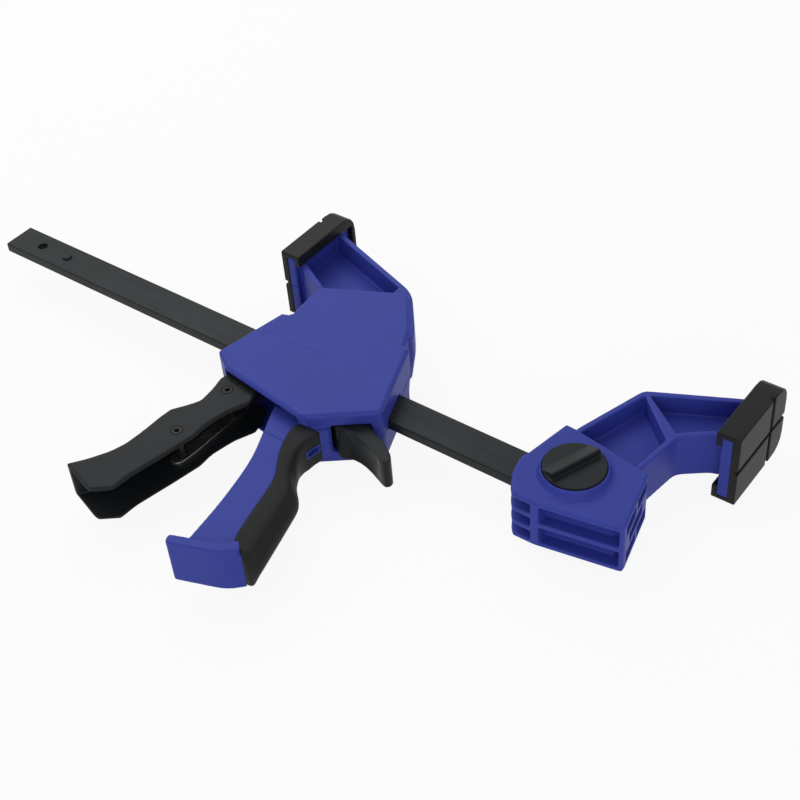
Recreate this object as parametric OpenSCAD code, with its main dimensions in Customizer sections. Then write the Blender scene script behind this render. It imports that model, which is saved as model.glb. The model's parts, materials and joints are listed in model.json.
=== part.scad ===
// One-handed quick release bar clamp, lying on its side and set up as a spreader.
// The origin is the centre of the hole in the bar's free end. +X runs along the bar to the
// fixed jaw, +Y points from the handle to the pads, and +Z is up, square to the bar's wide face.

/* [Bar] */
// Length of the bar
bar_l = 419; // [360:1:900]
// Width of the bar
bar_w = 20; // [18:0.5:21]
// Thickness of the bar
bar_t = 6; // [5:0.5:6.5]
// Chamfer along the bar's edges
bar_edge = 0.6; // [0.2:0.1:1]
// Distance from the bar's end to its hole
hole_inset = 21.5; // [16:0.5:30]
// Diameter of the holes in the bar
hole_d = 6; // [5:0.5:7]
// Distance from a hole to the stop pin beside it
stop_gap = 21; // [14:0.5:30]
// Diameter of a stop pin
stop_d = 6; // [4:0.5:7]
// Height of a stop pin above the bar
stop_rise = 1.2; // [0.8:0.1:1.6]

/* [Fixed jaw] */
// Length of the fixed jaw's block along the bar
block_l = 66.6; // [62:0.2:72]
// Width of the block across the bar
block_w = 54.6; // [52:0.2:60]
// Thickness of the block
block_t = 30; // [29:0.5:34]
// Depth of the windows in the block's sides
window_d = 7; // [3:0.5:8]
// Radius of the knob
knob_r = 15.7; // [15:0.1:16.5]
// Height of the knob's ridge above its face
ridge_h = 3.6; // [2:0.1:4.5]
// How far the locking pin lifts
pin_lift = 6; // [5.8:0.1:6.2]
// Angle of the knob's ridge from the bar
ridge_angle = 68.7; // [0:0.1:180]

/* [Arms and pads] */
// Distance from the bar's middle to the near end of the pads
pad_from = 54.3; // [53:0.1:58]
// Length of a pad
pad_l = 51.2; // [47:0.2:56]
// Width of a pad
pad_w = 44.4; // [42:0.2:50]
// Thickness of a pad's front wall
pad_front = 4.3; // [3.6:0.1:6]
// Thickness of the lips behind the plate
pad_lip = 3; // [2:0.1:4]
// Thickness of the plates that the pads cap
plate_t = 5.6; // [4.5:0.1:7]
// Width of the grooves in a pad's face
groove_w = 2.6; // [1.5:0.1:4]
// Depth of the grooves in a pad's face
groove_d = 2; // [1:0.1:3]
// Thickness of the arms' flanges
flange_t = 3.2; // [2.4:0.1:4]
// Thickness of the arms' middle web
web_t = 4; // [3:0.5:6]
// Height of the fixed jaw's arm
fixed_arm_t = 26.6; // [25:0.2:28]
// Height of the moving jaw's arm
moving_arm_t = 30; // [28:0.5:32]

/* [Moving jaw] */
// Distance from the end hole to the housing's left corner
housing_x = 169.5; // [165:0.5:175]
// Length of the housing along the bar
housing_l = 104; // [102:0.5:110]
// Width of the housing across the bar
housing_w = 109.5; // [108:0.5:114]
// Thickness of the housing
housing_t = 34; // [33:0.5:38]
// Thickness of the housing's flat walls
shell_t = 3; // [2.5:0.1:3.4]
// Chamfer round the housing's flat faces
housing_bevel = 1.6; // [0.6:0.1:2.2]

/* [Handle and lever] */
// Length of the handle below the bar's middle
handle_l = 134.4; // [130:0.2:140]
// Thickness of the handle's blue part
handle_t = 18; // [16:0.5:18]
// Thickness of the soft grip on the handle
grip_t = 21; // [20:0.2:24]
// Length of the lever from its pivot to its tip
lever_l = 160.4; // [156:0.2:166]
// Thickness of the lever
lever_t = 22.8; // [22.8:0.1:24]
// Thickness of the lever's flat walls
lever_wall = 2; // [1.6:0.1:2.2]
// Height of the lever's pivot above the bar's middle
pivot_y = 26; // [25:0.1:26.5]
// Diameter of the lever's pivot pin
pivot_d = 6; // [5:0.5:7]

/* [Mechanism] */
// Thickness of the two jamming plates
plate_steel_t = 3; // [2:0.1:3.2]
// Tilt of the brake plate at rest
brake_tilt = 5; // [3:0.5:6]
// Wire of the two springs round the bar
wire_d = 1.6; // [1.2:0.1:2]
// Turns of the drive spring
drive_turns = 6; // [4:1:8]
// Turns of the brake spring
brake_turns = 3; // [2:1:4]
// Thickness of the release trigger at its root
trigger_t = 18; // [17.8:0.1:18.5]
// Diameter of the release trigger's pin
trigger_pin_d = 5; // [4:0.5:5.5]
// Diameter of the housing screws
screw_d = 3; // [2.5:0.1:3.4]
// Length of the housing screws
screw_l = 17; // [15:0.5:18]
// Length of the screws in the handle
handle_screw_l = 11; // [9:0.5:11.5]

/* [Hidden] */
$fn = 64;

// Clearances
slide_fit = 0.15;
turn_fit = 0.05;
press_fit = 0.02;
seat_fit = 0.1;
loose_fit = 0.4;
overrun = 1;

// Steps in a rounded corner of an outline
corner_steps = 4;

// Places along the bar
bar_left = -hole_inset;
bar_right = bar_l - hole_inset;
knob_x = bar_right - hole_inset;
passage_w = bar_w + 2 * slide_fit;
passage_t = bar_t + 2 * slide_fit;

// An outline is a table of rows: share of the length, share of the width, share of the rounding.
function unit(v) = v / norm(v);
function wrap(points, i) = points[(i + len(points)) % len(points)];
function along(a, b, distance) = a + unit(b - a) * min(distance, norm(b - a) / 2.05);
function bend(a, corner, b, u) = (1 - u) * (1 - u) * a + 2 * u * (1 - u) * corner + u * u * b;
function rounded(corners) = [
    for (i = [0 : len(corners) - 1])
        let (here = corners[i], p = [here[0], here[1]])
        let (before = wrap(corners, i - 1), after = wrap(corners, i + 1))
        let (a = along(p, [before[0], before[1]], here[2]))
        let (b = along(p, [after[0], after[1]], here[2]))
        each (here[2] == 0 ? [p] : [for (k = [0 : corner_steps]) bend(a, p, b, k / corner_steps)])
];
function corners_of(shares, size, round) =
    [for (s = shares) [s[0] * size.x, s[1] * size.y, s[2] * round]];
function outline(shares, size, round) = rounded(corners_of(shares, size, round));
function left_of(v) = [-v.y, v.x];
function flat(corner) = [corner[0], corner[1]];
function cross_of(a, b) = a.x * b.y - a.y * b.x;

// The corners moved inwards, with their rounding kept parallel
function inset(corners, distance) = [
    for (i = [0 : len(corners) - 1])
        let (p = flat(corners[i]))
        let (to = unit(p - flat(wrap(corners, i - 1))), on = unit(flat(wrap(corners, i + 1)) - p))
        let (middle = unit(left_of(to) + left_of(on)))
        let (lean = middle * left_of(to), side = sign(cross_of(to, on)))
        let (shrink = distance * side * sqrt(max(0, 1 - lean * lean)) / lean)
        let (q = p + middle * distance / lean, round = corners[i][2])
        [q.x, q.y, round == 0 ? 0 : max(round / 10, round - shrink)]
];

// A wedge that takes a chamfer off a plate's top edge from a to b, with the plate on its left
module edge_wedge(a, b, across, down) {
    rise = overrun * down / across;
    translate(a) rotate([0, 0, atan2(b.y - a.y, b.x - a.x)]) rotate([90, 0, 90])
        linear_extrude(norm(b - a)) polygon([
            [-overrun, -down - rise], [across + overrun, rise], [-overrun, rise]
        ]);
}

// A plate with the given corners, from low to high, with its top and bottom edges chamfered
module chamfered(corners, low, high, top_edge, bottom_edge = 0) {
    difference() {
        plate(corners, low, high);
        for (i = [0 : len(corners) - 1]) {
            a = flat(corners[i]);
            b = flat(wrap(corners, i + 1));
            translate([0, 0, high]) edge_wedge(a, b, top_edge, top_edge);
            if (bottom_edge > 0)
                translate([0, 0, low]) mirror([0, 0, 1]) edge_wedge(a, b, bottom_edge, bottom_edge);
        }
    }
}

module plate(corners, low, high) {
    translate([0, 0, low]) linear_extrude(high - low) polygon(rounded(corners));
}

// A coil along +X, with its ends at zero and length
module coil(length, middle_r, wire, turns, sides = 6, steps = 12) {
    count = turns * steps;
    pitch = (length - wire) / turns;
    function centre(i) = [
        wire / 2 + pitch * i / steps,
        middle_r * cos(360 * i / steps),
        middle_r * sin(360 * i / steps)
    ];
    function hoop(i) = [
        for (k = [0 : sides - 1])
            let (turn = 360 * i / steps, side = 360 * k / sides)
            let (out = wire / 2 * cos(side))
            centre(i) + [wire / 2 * sin(side), out * cos(turn), out * sin(turn)]
    ];
    polyhedron(
        points = [for (i = [0 : count]) each hoop(i)],
        faces = concat(
            [[for (k = [sides - 1 : -1 : 0]) k]],
            [for (i = [0 : count - 1]) for (k = [0 : sides - 1]) each [
                [i * sides + k, (i + 1) * sides + (k + 1) % sides, (i + 1) * sides + k],
                [i * sides + k, i * sides + (k + 1) % sides, (i + 1) * sides + (k + 1) % sides]
            ]],
            [[for (k = [0 : sides - 1]) count * sides + k]]
        ),
        convexity = 8
    );
}

// Bar
module bar() {
    half_w = bar_w / 2;
    half_t = bar_t / 2;
    profile = [
        [-half_t + bar_edge, -half_w], [half_t - bar_edge, -half_w],
        [half_t, -half_w + bar_edge], [half_t, half_w - bar_edge],
        [half_t - bar_edge, half_w], [-half_t + bar_edge, half_w],
        [-half_t, half_w - bar_edge], [-half_t, -half_w + bar_edge]
    ];
    color("dimgray")
    difference() {
        translate([bar_left, 0, 0]) rotate([0, 90, 0]) linear_extrude(bar_l) polygon(profile);
        for (x = [0, knob_x]) translate([x, 0, -bar_t]) cylinder(h = 2 * bar_t, d = hole_d);
        for (x = [stop_gap, knob_x - stop_gap])
            translate([x, 0, -bar_t]) cylinder(h = 2 * bar_t, d = stop_d);
    }
}

module bar_stop_pins() {
    dome = stop_rise / 2;
    color("darkslategray")
    for (x = [stop_gap, knob_x - stop_gap]) translate([x, 0, 0])
    rotate_extrude() polygon([
        [0, -bar_t / 2 - stop_rise], [stop_d / 2 - dome, -bar_t / 2 - stop_rise],
        [stop_d / 2 - press_fit, -bar_t / 2 - dome], [stop_d / 2 - press_fit, bar_t / 2 + dome],
        [stop_d / 2 - dome, bar_t / 2 + stop_rise], [0, bar_t / 2 + stop_rise]
    ]);
}

// Fixed jaw. Its outlines are shares of the block's size, measured from the knob's axis.
block_shares = [
    [-0.395, -0.009, 0], [-0.414, -0.057, 0.5], [-0.408, -0.158, 1], [-0.381, -0.289, 1],
    [-0.311, -0.443, 0.5], [-0.266, -0.509, 0.5], [-0.084, -0.505, 1], [0.586, -0.357, 1.2],
    [0.450, 0.341, 0.8], [-0.227, 0.484, 0.5], [-0.318, 0.491, 0.5]
];
block_round = 3;
block_edge = 0.8;
block_corners = corners_of(block_shares, [block_l, block_w], block_round);
window_rim = 2.2;
window_rib = 2.4;
shelf_t = 2.8;
boss_rim = 1;
boss_slope = 1.7;
boss_top_r = knob_r + boss_rim;
boss_r = boss_top_r + boss_slope;
boss_h = 4;
knob_proud = 0.6;
knob_skin = 0.5;
knob_seat_t = 6;
hub_r = 9;
hub_seat = 2.4;
snap_r = 0.5;
snap_h = 1;
knob_fit = 0.3;
block_top = block_t / 2;
knob_face = block_top + boss_h + knob_proud;
knob_floor = knob_face - knob_seat_t;
hub_floor = passage_t / 2 + hub_seat;
collar_h = 1.5;
collar_r = 5;
pin_d = hole_d - 2 * turn_fit;
pin_raised = 0.4;
pin_l = 14.6;
pin_low = -bar_t / 2 + pin_raised;
pin_high = pin_low + pin_l;
collar_low = hub_floor + seat_fit;
knob_roof = knob_face - knob_skin;
pin_wire = 0.8;
pin_turns = 5;

// Arm of the fixed jaw, measured from the knob's axis, as shares of the reach to the plate
reach = 49.5;
fixed_pad_x = knob_x + reach;
arm_y = pad_from + pad_l - pad_lip;
fixed_arm_shares = [
    [-0.372, 0.14, 0], [0.46, 0.1, 0], [0.505, 0.225, 1.5], [0.576, 0.484, 1],
    [0.868, 0.591, 1], [1.004, 0.605, 0], [1.004, 0.923, 0], [0.877, 0.897, 1],
    [-0.047, 0.684, 0.8], [-0.323, 0.274, 1]
];
arm_round = 4;
fixed_arm_corners = corners_of(fixed_arm_shares, [reach, arm_y], arm_round);
fixed_rib_shares = [[-0.10, 0.70], [-0.04, 0.70], [0.66, 0.46], [0.58, 0.40]];

module window_band(low, high, from_x, to_x, from_y, to_y) {
    translate([0, 0, low]) linear_extrude(high - low) difference() {
        translate([from_x, from_y]) square([to_x - from_x, to_y - from_y]);
        polygon(rounded(inset(block_corners, window_d)));
    }
}

module block_windows() {
    corner_x = block_shares[6][0] * block_l;
    right_x = block_shares[7][0] * block_l;
    facet_top = block_shares[3][1] * block_w;
    near = -block_w;
    inner = block_top - shelf_t;
    middle = passage_t / 2;
    front_right = right_x - shelf_t;
    // three stacked slots round the left front facet
    for (z = [-inner, -middle, middle + shelf_t])
        window_band(z, z == -middle ? middle : z + inner - middle - shelf_t,
            -block_l, corner_x - window_rim, near, facet_top);
    // two long windows in the front face
    for (z = [-inner, shelf_t / 2])
        window_band(z, z + inner - shelf_t / 2, corner_x + window_rim, front_right,
            near, -passage_w / 2 - shelf_t);
    // two rows of windows in the right face, above and below the bar's passage
    right_from = block_shares[7][1] * block_w + 2 * window_rim;
    right_to = block_shares[8][1] * block_w - window_rim;
    half = (right_to - right_from - window_rib) / 2;
    for (side = [0, 1]) mirror([0, 0, side])
        for (y = [right_from, right_from + half + window_rib])
            window_band(middle + shelf_t, inner, right_x - 2 * window_d, block_l, y, y + half);
}

module arm_pockets(corners, height) {
    for (side = [0, 1]) mirror([0, 0, side])
        translate([0, 0, web_t / 2]) linear_extrude(height) difference() {
            polygon(rounded(inset(corners, flange_t)));
            children();
        }
}

module fixed_jaw() {
    rib_from = [for (s = fixed_rib_shares) [s[0] * reach, s[1] * arm_y]];
    color("royalblue")
    translate([knob_x, 0, 0])
    difference() {
        union() {
            chamfered(block_corners, -block_top, block_top, block_edge, block_edge);
            translate([0, 0, block_top])
                cylinder(h = boss_h, r1 = boss_r, r2 = boss_top_r);
            difference() {
                plate(fixed_arm_corners, -fixed_arm_t / 2, fixed_arm_t / 2);
                arm_pockets(fixed_arm_corners, block_t) {
                    union() {
                        polygon(rib_from);
                        polygon(rounded(block_corners));
                    }
                }
            }
            translate([reach, 0, 0]) jaw_plate(1);
        }
        block_windows();
        // the bar's passage, with a groove that clears the stop pins
        translate([-block_l, -passage_w / 2, -passage_t / 2])
            cube([2 * block_l, passage_w, passage_t]);
        translate([-block_l, -stop_d / 2 - loose_fit, -bar_t / 2 - stop_rise - loose_fit])
            cube([block_l - stop_gap + stop_d / 2 + overrun, stop_d + 2 * loose_fit,
                bar_t + 2 * stop_rise + 2 * loose_fit]);
        // the knob's seat, its snap groove and the guide of the locking pin
        translate([0, 0, knob_floor - seat_fit])
            cylinder(h = block_t, r = knob_r + knob_fit);
        translate([0, 0, block_top - snap_h - loose_fit])
            cylinder(h = snap_h + 2 * loose_fit, r = knob_r + knob_fit + 2 * snap_r);
        translate([0, 0, hub_floor]) cylinder(h = block_t, r = hub_r + turn_fit);
        cylinder(h = block_t, d = pin_d + 2 * turn_fit);
    }
}

pad_groove_share = 0.67;
pad_corner = 1;

// A jaw's plate, with its back face at zero and its front towards the given side
module jaw_plate(side, half = 0) {
    plate_w = pad_w - 2 * pad_lip;
    far = pad_from + pad_l - pad_lip;
    round = pad_w / 5;
    profile = rounded([
        [half == 0 ? -plate_w / 2 : 0, pad_from, 0],
        [plate_w / 2, pad_from, 0],
        [plate_w / 2, far, round],
        [half == 0 ? -plate_w / 2 : 0, far, half == 0 ? round : 0]
    ]);
    mirror([side < 0 ? 1 : 0, 0, 0])
        multmatrix([[0, 0, 1, 0], [0, 1, 0, 0], [1, 0, 0, 0], [0, 0, 0, 1]])
            linear_extrude(plate_t) polygon([for (p = profile) [p.x, p.y]]);
}

// A pad, with its plate's back face at zero
module pad(side, arm_t) {
    round = pad_w / 4;
    total = pad_lip + plate_t + pad_front;
    far = pad_from + pad_l;
    outer = rounded([
        [-pad_w / 2, pad_from, pad_corner], [pad_w / 2, pad_from, pad_corner],
        [pad_w / 2, far, round], [-pad_w / 2, far, round]
    ]);
    plate_w = pad_w - 2 * pad_lip + 2 * seat_fit;
    plate_far = far - pad_lip + seat_fit;
    inner = rounded([
        [-plate_w / 2, pad_from - overrun, 0], [plate_w / 2, pad_from - overrun, 0],
        [plate_w / 2, plate_far, round - pad_lip], [-plate_w / 2, plate_far, round - pad_lip]
    ]);
    mirror([side < 0 ? 1 : 0, 0, 0])
    multmatrix([[0, 0, 1, 0], [0, 1, 0, 0], [1, 0, 0, 0], [0, 0, 0, 1]])
    difference() {
        translate([0, 0, -pad_lip]) linear_extrude(total) polygon(outer);
        linear_extrude(plate_t) polygon(inner);
        translate([-arm_t / 2 - slide_fit, pad_from - overrun, -pad_lip - overrun])
            cube([arm_t + 2 * slide_fit, pad_l - pad_lip + overrun, pad_lip + 2 * overrun]);
        translate([-groove_w / 2, pad_from - overrun, plate_t + pad_front - groove_d])
            cube([groove_w, pad_l + 2 * overrun, pad_front]);
        translate([-pad_w, pad_from + pad_groove_share * pad_l, plate_t + pad_front - groove_d])
            cube([2 * pad_w, groove_w, pad_front]);
    }
}

module fixed_pad() {
    color("black") translate([fixed_pad_x, 0, 0]) pad(1, fixed_arm_t);
}

// Knob, with a hub that the locking pin and its spring sit in
ridge_shares = [[0.1, -0.1], [0.1, 1], [0.02, 1], [-0.5, -0.1]];
module jaw_knob() {
    ridge_l = 2 * knob_r - 3 * block_edge;
    color("black")
    translate([knob_x, 0, 0])
    difference() {
        union() {
            translate([0, 0, knob_floor]) cylinder(h = knob_seat_t, r = knob_r);
            translate([0, 0, block_top - snap_h]) cylinder(h = snap_h, r = knob_r + knob_fit + snap_r);
            translate([0, 0, hub_floor + seat_fit])
                cylinder(h = knob_floor - hub_floor, r = hub_r);
            rotate([0, 0, ridge_angle]) translate([-ridge_l / 2, 0, knob_face])
                rotate([90, 0, 90]) linear_extrude(ridge_l)
                    polygon([for (s = ridge_shares) [-s[0] * knob_r, s[1] * ridge_h]]);
        }
        translate([0, 0, -block_t]) cylinder(h = block_t + knob_roof, r = collar_r + slide_fit);
        cylinder(h = pin_high + pin_lift + loose_fit, d = pin_d + 2 * slide_fit);
    }
}

module locking_pin() {
    tip = pin_d / 8;
    color("silver")
    translate([knob_x, 0, 0])
    rotate_extrude() polygon([
        [0, pin_low], [pin_d / 2 - tip, pin_low], [pin_d / 2, pin_low + tip],
        [pin_d / 2, collar_low], [collar_r, collar_low], [collar_r, collar_low + collar_h],
        [pin_d / 2, collar_low + collar_h], [pin_d / 2, pin_high], [0, pin_high]
    ]);
}

module pin_spring() {
    low = collar_low + collar_h + press_fit;
    color("silver")
    translate([knob_x, 0, low]) rotate([0, -90, 0])
        coil(knob_roof - low - press_fit, pin_d / 2 + pin_wire, pin_wire, pin_turns);
}

// Moving jaw. Lengths are measured from the housing's left corner.
housing_shares = [
    [0, -0.241, 0.8], [0.129, -0.318, 1], [0.685, -0.3945, 1], [1, -0.165, 1],
    [0.829, 0.270, 0.4], [0.800, 0.268, 0.3], [0.745, 0.385, 1.2], [0.569, 0.6055, 1],
    [0.5125, 0.602, 0.8], [0.105, 0.419, 0.6], [0.132, 0.168, 0.6], [0.082, 0.153, 0.6]
];
housing_round = 3;
housing_corners = corners_of(housing_shares, [housing_l, housing_w], housing_round);
housing_half = housing_t / 2;
roof = housing_half - shell_t;
moving_pad_share = -0.126;
moving_pad_x = moving_pad_share * housing_l;
moving_arm_shares = [
    [0.115, 0.41, 1], [0.2, 0.27, 0], [0.68, 0.27, 0], [0.79, 0.345, 2], [0.748, 0.418, 2],
    [0.557, 0.643, 2]
];
arm_end_shares = [0.582, 0.936];
pocket_end_share = 0.47;
arm_end_x = moving_pad_x - plate_t / 2;
moving_arm_corners = concat(
    [[arm_end_x, arm_end_shares[0] * arm_y, 0]],
    corners_of(moving_arm_shares, [housing_l, housing_w], arm_round),
    [[arm_end_x, arm_end_shares[1] * arm_y, 0]]
);

// Bare panel sunk into the flat face: its upper corners, and how far down it fades out
panel_shares = [[0.1163, -0.0018], [0.8327, 0.0265]];
panel_depth = 0.35;
panel_fade = 14;

function shares_of(shares, size) = [for (s = shares) [s[0] * size.x, s[1] * size.y, 0]];
housing_size = [housing_l, housing_w];
boss_wall = 2.6;
eye_r = pivot_d / 2 + 1.5 * boss_wall;
eye_room = 3.1;
spring_r = norm([bar_w, bar_t]) / 2 + wire_d / 2 + loose_fit;
spring_room = 1.1;
spring_space = spring_r + wire_d / 2 + spring_room;

// Space for the lever, the drive plate and its spring, open below. It clears the lever's eye.
drive_space_shares = [
    [0.098, -0.2], [0.098, -0.56], [0.66, -0.56], [0.66, -0.137], [0.64, -0.137],
    [0.64, 0.1415], [0.462, 0.183]
];
eye_space_shares = [0.423, 0.168];
drive_end_shares = [[0.168, 0.174], [0.125, 0.155], [0.087, 0]];
drive_space = concat(
    shares_of(drive_space_shares, housing_size),
    [for (s = eye_space_shares) [s * housing_l, pivot_y + eye_r + eye_room, 0]],
    shares_of(drive_end_shares, housing_size)
);
// Space for the brake plate, its spring and the trigger's root
brake_guide_share = 0.861;
brake_space_shares = [
    [0.808, 0.169], [0.678, 0.169], [0.678, -0.132], [0.69, -0.137], [0.69, -0.288],
    [0.74, -0.301], [0.893, -0.191], [0.879, -0.128]
];
brake_space = concat(
    shares_of(brake_space_shares, housing_size),
    [for (side = [-1, 1]) [brake_guide_share * housing_l, side * spring_space, 0]]
);
trigger_window_shares = [[0.746, -0.27], [0.836, -0.344], [0.985, -0.225], [0.925, -0.165]];

// Handle, as shares of the housing's length and the handle's length. The lever's channel
// straddles it, and its two root corners lie inside the housing.
handle_root_shares = [[0.457, -0.331], [0.808, -0.329]];
handle_shares = [
    [0.490, -0.337, 2], [0.612, -0.542, 3], [0.678, -0.770, 4], [0.712, -0.99, 0],
    [0.913, -0.9635, 1], [1.032, -0.926, 1.5], [0.921, -0.617, 2], [0.890, -0.588, 2],
    [0.830, -0.545, 2.5], [0.785, -0.488, 2.5], [0.7585, -0.4195, 2], [0.763, -0.350, 1],
    [0.783, -0.307, 0.5]
];
handle_round = 4;
handle_size = [housing_l, handle_l];
handle_root = shares_of(handle_root_shares, housing_size);
handle_corners = concat(
    [handle_root[0]], corners_of(handle_shares, handle_size, handle_round), [handle_root[1]]
);
grip_shares = [
    [0.675, -0.305, 0.5], [0.651, -0.330, 1.2], [0.6635, -0.395, 2], [0.7045, -0.470, 2],
    [0.7575, -0.5305, 1.5], [0.793, -0.5745, 1.5], [0.814, -0.624, 1.5], [0.853, -0.759, 2],
    [0.894, -0.8855, 0.5], [0.94, -0.915, 0.5], [1.0, -0.930, 0.5], [1.073, -0.940, 1],
    [0.956, -0.610, 3], [0.925, -0.573, 2], [0.8605, -0.528, 2.5], [0.819, -0.476, 2.5],
    [0.792, -0.4165, 2.5], [0.798, -0.342, 2.5], [0.790, -0.310, 0.5]
];
grip_corners = corners_of(grip_shares, handle_size, handle_round);
// The grip's rows from the first to the last of the side that the palm rolls over
palm_rows = [11, 16];
palm_roll = [3, 7];
lip_shares = [
    [0.647, -1.02, 0.4], [0.664, -1.055, 0.4], [0.913, -0.987, 1.4], [0.984, -0.934, 0.3],
    [0.945, -0.905, 0.3], [0.892, -0.952, 1], [0.73, -0.995, 1.5]
];
lip_corners = corners_of(lip_shares, handle_size, handle_round);
lip_proud = 4.5;
lip_t = handle_t + 2 * lip_proud;
handle_half = handle_t / 2;
grip_half = grip_t / 2;
grip_inlay = 1.6;
grip_wall = handle_half - grip_inlay;
root_step = 0.6;
root_line_share = -0.413;
// Slot for a lanyard in the handle's neck, between the two halves, with a blue rim
slot_shares = [[0.735, -0.381], [0.776, -0.311]];
slot_half = 1.6;
slot_rim = 0.8;

// Pins and screws of the moving jaw, as shares of the housing's size
pivot_share = 0.2933;
pivot_at = [pivot_share * housing_l, pivot_y];
trigger_pin_shares = [0.755, -0.21];
trigger_at = [trigger_pin_shares[0] * housing_l, trigger_pin_shares[1] * housing_w];
screw_shares = [[0.23, 0.41], [0.56, 0.45], [0.55, 0.56], [0.935, -0.125]];
handle_screw_shares = [[0.72, -0.43], [0.945, -0.86]];
screw_sink = 4.5;
handle_screw_sink = 2.4;
head_z = housing_half - screw_sink;
handle_head_z = grip_wall - handle_screw_sink;
// Rows of x, y, depth of the head's seat below the middle plane, length
screw_places = concat(
    [for (s = screw_shares) [s[0] * housing_l, s[1] * housing_w, head_z, screw_l]],
    [for (s = handle_screw_shares) [s[0] * housing_l, s[1] * handle_l, handle_head_z, handle_screw_l]]
);
pin_end = roof - overrun;

module half_shell() {
    difference() {
        union() {
            difference() {
                union() {
                    chamfered(housing_corners, 0, housing_half, housing_bevel);
                    difference() {
                        plate(moving_arm_corners, 0, moving_arm_t / 2);
                        translate([0, 0, web_t / 2]) linear_extrude(housing_t) difference() {
                            polygon(rounded(inset(moving_arm_corners, flange_t)));
                            polygon(rounded(housing_corners));
                            translate([pocket_end_share * housing_l, 0]) square(housing_w);
                        }
                    }
                    translate([moving_pad_x, 0, 0]) jaw_plate(-1, 1);
                }
                translate([0, 0, -overrun]) {
                    plate(drive_space, 0, roof + overrun);
                    plate(brake_space, 0, roof + overrun);
                    plate(shares_of(trigger_window_shares, housing_size), 0,
                        trigger_root + loose_fit + overrun);
                }
                bare_panel();
            }
            handle_half_shell();
            // bosses for the lever's pivot pin and the trigger's pin
            translate([pivot_at.x, pivot_at.y, lever_t / 2 - lever_wall + loose_fit])
                cylinder(h = roof - lever_t / 2 + lever_wall, d = pivot_d + 2 * boss_wall);
            translate([trigger_at.x, trigger_at.y, trigger_root + slide_fit])
                cylinder(h = roof - trigger_root, d = trigger_pin_d + 2 * boss_wall);
        }
        // the bar's passage
        translate([-housing_l, -passage_w / 2, -overrun])
            cube([3 * housing_l, passage_w, passage_t / 2 + overrun]);
        translate([pivot_at.x, pivot_at.y, -overrun])
            cylinder(h = pin_end + overrun, d = pivot_d + 2 * press_fit);
        translate([trigger_at.x, trigger_at.y, -overrun])
            cylinder(h = pin_end + overrun, d = trigger_pin_d + 2 * press_fit);
    }
}

module bare_panel() {
    from = [panel_shares[0][0] * housing_l, panel_shares[0][1] * housing_w];
    to = [panel_shares[1][0] * housing_l, panel_shares[1][1] * housing_w];
    translate([from.x, from.y, housing_half])
        rotate([0, 0, atan2(to.y - from.y, to.x - from.x)]) rotate([90, 0, 90])
            linear_extrude(norm(to - from)) polygon([
                [0, -panel_depth], [0, overrun],
                [-panel_fade * (panel_depth + overrun) / panel_depth, overrun]
            ]);
}

module neck_slot(half, grow) {
    low = [slot_shares[0][0] * housing_l, slot_shares[0][1] * handle_l];
    high = [slot_shares[1][0] * housing_l, slot_shares[1][1] * handle_l];
    translate([low.x, low.y - grow, -overrun])
        cube([high.x - low.x, high.y - low.y + 2 * grow, half + grow + overrun]);
}

module handle_half_shell() {
    difference() {
        union() {
            difference() {
                plate(handle_corners, 0, handle_half);
                // the seat of the soft grip
                plate(grip_corners, grip_wall, housing_t);
                // the step where the handle runs in under the housing
                translate([0, root_line_share * handle_l, handle_half - root_step])
                    cube([grip_shares[0][0] * housing_l, handle_l, housing_t]);
            }
            intersection() {
                neck_slot(slot_half, slot_rim);
                translate([0, -handle_l, 0]) cube([housing_l, handle_l, handle_half]);
            }
        }
        translate([slot_rim, 0, 0]) neck_slot(slot_half, 0);
    }
    plate(lip_corners, 0, lip_t / 2);
}

module pilot_holes() {
    for (p = screw_places) translate([p.x, p.y, -overrun])
        cylinder(h = p[3] - p.z + 2 * overrun, d = screw_d + 2 * press_fit);
}

module housing_top() {
    color("royalblue") translate([housing_x, 0, 0]) difference() {
        half_shell();
        pilot_holes();
    }
}

screw_head_r = 2.9;
screw_head_h = 2.2;
module housing_bottom() {
    color("royalblue") translate([housing_x, 0, 0]) difference() {
        mirror([0, 0, 1]) half_shell();
        for (p = screw_places) translate([p.x, p.y, -housing_t]) {
            cylinder(h = housing_t + overrun, d = screw_d + 2 * slide_fit);
            cylinder(h = housing_t - p.z, r = screw_head_r + slide_fit);
        }
    }
}

module housing_screws() {
    color("dimgray") translate([housing_x, 0, 0])
    for (p = screw_places) translate([p.x, p.y, -p.z]) {
        cylinder(h = p[3], d = screw_d);
        translate([0, 0, -screw_head_h]) difference() {
            cylinder(h = screw_head_h, r = screw_head_r);
            translate([0, 0, -overrun])
                cylinder(h = overrun + screw_head_h / 2, d = screw_d * 0.9, $fn = 6);
        }
    }
}

grip_edge = 1.2;
module grip_half_shell() {
    difference() {
        chamfered(grip_corners, 0, grip_half, grip_edge);
        for (i = [palm_rows[0] : palm_rows[1]]) translate([0, 0, grip_half]) {
            a = flat(grip_corners[i]);
            b = flat(grip_corners[i + 1]);
            edge_wedge(a, b, palm_roll.x, palm_roll.y);
            edge_wedge(a, b, palm_roll.y, palm_roll.x);
        }
        neck_slot(slot_half, slot_rim + press_fit);
        translate([0, 0, -overrun]) plate(handle_corners, 0, grip_wall + overrun);
        translate([0, 0, -overrun]) plate(housing_corners, 0, housing_half);
        translate([0, 0, -overrun]) plate(lip_corners, 0, housing_half);
    }
}

module handle_grip_top() {
    color("black") translate([housing_x, 0, 0]) grip_half_shell();
}

module handle_grip_bottom() {
    color("black") translate([housing_x, 0, 0]) difference() {
        mirror([0, 0, 1]) grip_half_shell();
        for (p = screw_places) translate([p.x, p.y, -housing_t])
            cylinder(h = housing_t, r = screw_head_r + slide_fit);
    }
}

module moving_pad() {
    color("black") translate([housing_x + moving_pad_x, 0, 0]) pad(-1, moving_arm_t);
}

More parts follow.
